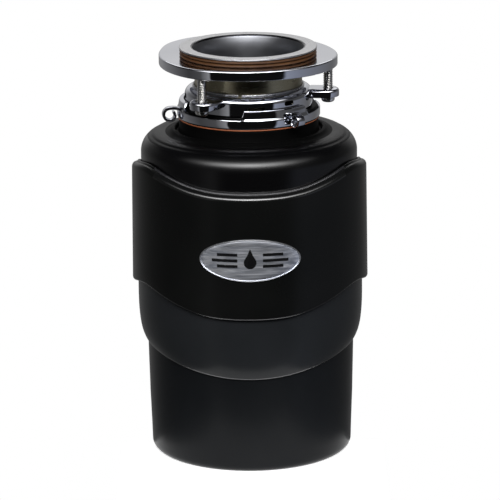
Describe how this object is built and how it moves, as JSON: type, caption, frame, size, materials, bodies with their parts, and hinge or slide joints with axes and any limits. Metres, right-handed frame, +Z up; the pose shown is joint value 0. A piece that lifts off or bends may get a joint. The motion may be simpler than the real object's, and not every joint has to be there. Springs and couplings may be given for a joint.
{
  "type": "kitchen garbage disposal",
  "caption": "Upright kitchen garbage disposal with a wide upper band, oval front badge, narrow neck and a three-bolt sink mount with locking ring.",
  "frame": {"origin": "centre of the base, on the plane it stands on", "axes": "+Z up along the motor shaft; -Y is the front with the badge; +Y is the discharge outlet at the back"},
  "size_m": [0.1898, 0.1928, 0.3312],
  "materials": {
    "black_shell_lower": "satin black",
    "black_shell_middle": "satin black",
    "black_band": "satin black",
    "black_cover": "satin black",
    "polished_chrome": "polished",
    "stainless": "satin",
    "badge_silver": "brushed",
    "badge_black": "gloss",
    "fibre": "dense brown fibre",
    "black_rubber": "matt",
    "cast_alloy": "as cast",
    "lamination": "laminated steel",
    "copper_winding": "enamelled copper",
    "bronze": "sintered",
    "zinc_steel": "zinc plated",
    "grey_plastic": "matt",
    "red_plastic": "gloss",
    "drain_plastic": "moulded",
    "foam": "foam",
    "cast_iron": "machined"
  },
  "bodies": {
    "disposer": {"lower_shell": "black_shell_lower", "middle_shell": "black_shell_middle", "trim_band": "black_band", "top_cover": "black_cover", "badge_bezel": "polished_chrome", "badge_plate": "badge_silver", "badge_emblem": "badge_black", "base_cover": "zinc_steel", "wiring_cover_plate": "zinc_steel", "wiring_cover_screw": "zinc_steel", "ground_screw": "bronze", "overload_protector": "grey_plastic", "lower_end_frame": "cast_alloy", "upper_end_bell": "cast_alloy", "stator_core": "lamination", "upper_winding": "copper_winding", "lower_winding": "copper_winding", "through_bolts": "zinc_steel", "lower_bushing": "bronze", "upper_bushing": "bronze", "start_switch": "grey_plastic", "drain_chamber": "drain_plastic", "outlet_body": "drain_plastic", "shaft_seal": "black_rubber", "chamber_gasket": "black_rubber", "grind_container": "stainless", "container_screws": "zinc_steel", "grind_ring": "cast_iron", "insulation_jacket": "foam", "neck_collar": "black_rubber", "fibre_washer": "fibre", "cushion_mount": "black_rubber", "splash_baffle": "black_rubber", "sink_flange": "stainless", "snap_ring": "stainless", "upper_mounting_ring": "polished_chrome"},
    "rotor": {"shaft": "stainless", "wrench_socket": "zinc_steel", "rotor_core": "lamination", "rotor_end_rings": "cast_alloy", "thrust_washer": "bronze", "centrifugal_actuator": "grey_plastic", "water_slinger": "black_rubber", "turntable": "stainless", "turntable_nut": "zinc_steel", "lug_pins": "stainless"},
    "lug_a": {"impeller_lug_a": "stainless"},
    "lug_b": {"impeller_lug_b": "stainless"},
    "clamp": {"backup_flange": "polished_chrome", "sink_gasket_lower": "fibre", "sink_gasket_upper": "fibre"},
    "screw_1": {"mounting_screw_1": "zinc_steel"},
    "screw_2": {"mounting_screw_2": "zinc_steel"},
    "screw_3": {"mounting_screw_3": "zinc_steel"},
    "locking_ring": {"lower_mounting_ring": "polished_chrome"},
    "reset": {"reset_button": "red_plastic"}
  },
  "joints": [
    {"name": "rotor_spin", "type": "hinge", "parent": "disposer", "child": "rotor", "pos_m": [0, 0, 0.1], "axis": [0, 0, 1], "continuous": true},
    {"name": "lug_a_swing", "type": "hinge", "parent": "rotor", "child": "lug_a", "pos_m": [0.04, 0, 0.203], "axis": [0, 0, 1], "continuous": true},
    {"name": "lug_b_swing", "type": "hinge", "parent": "rotor", "child": "lug_b", "pos_m": [-0.04, 0, 0.203], "axis": [0, 0, 1], "continuous": true},
    {"name": "clamp_slide", "type": "slide", "parent": "disposer", "child": "clamp", "axis": [0, 0, -1], "range_m": [0, 0.006]},
    {"name": "locking_ring_turn", "type": "hinge", "parent": "disposer", "child": "locking_ring", "pos_m": [0, 0, 0.28], "axis": [0, 0, 1], "range_deg": [-45, 0]},
    {"name": "reset_press", "type": "slide", "parent": "disposer", "child": "reset", "axis": [0, 0, 1], "range_m": [0, 0.003], "stiffness_N_per_m": 150},
    {"name": "screw_1_turn", "type": "hinge", "parent": "clamp", "child": "screw_1", "pos_m": [0.06346, -0.00555, 0.3], "axis": [0, 0, 1], "range_deg": [-1532, 0]},
    {"name": "screw_2_turn", "type": "hinge", "parent": "clamp", "child": "screw_2", "pos_m": [-0.03654, -0.05218, 0.3], "axis": [0, 0, 1], "range_deg": [-1532, 0]},
    {"name": "screw_3_turn", "type": "hinge", "parent": "clamp", "child": "screw_3", "pos_m": [-0.02692, 0.05773, 0.3], "axis": [0, 0, 1], "range_deg": [-1532, 0]}
  ],
  "couplings": [
    {"joint": "screw_1_turn", "follows": "clamp_slide", "rad_per_m": -4456.2},
    {"joint": "screw_2_turn", "follows": "clamp_slide", "rad_per_m": -4456.2},
    {"joint": "screw_3_turn", "follows": "clamp_slide", "rad_per_m": -4456.2}
  ]
}
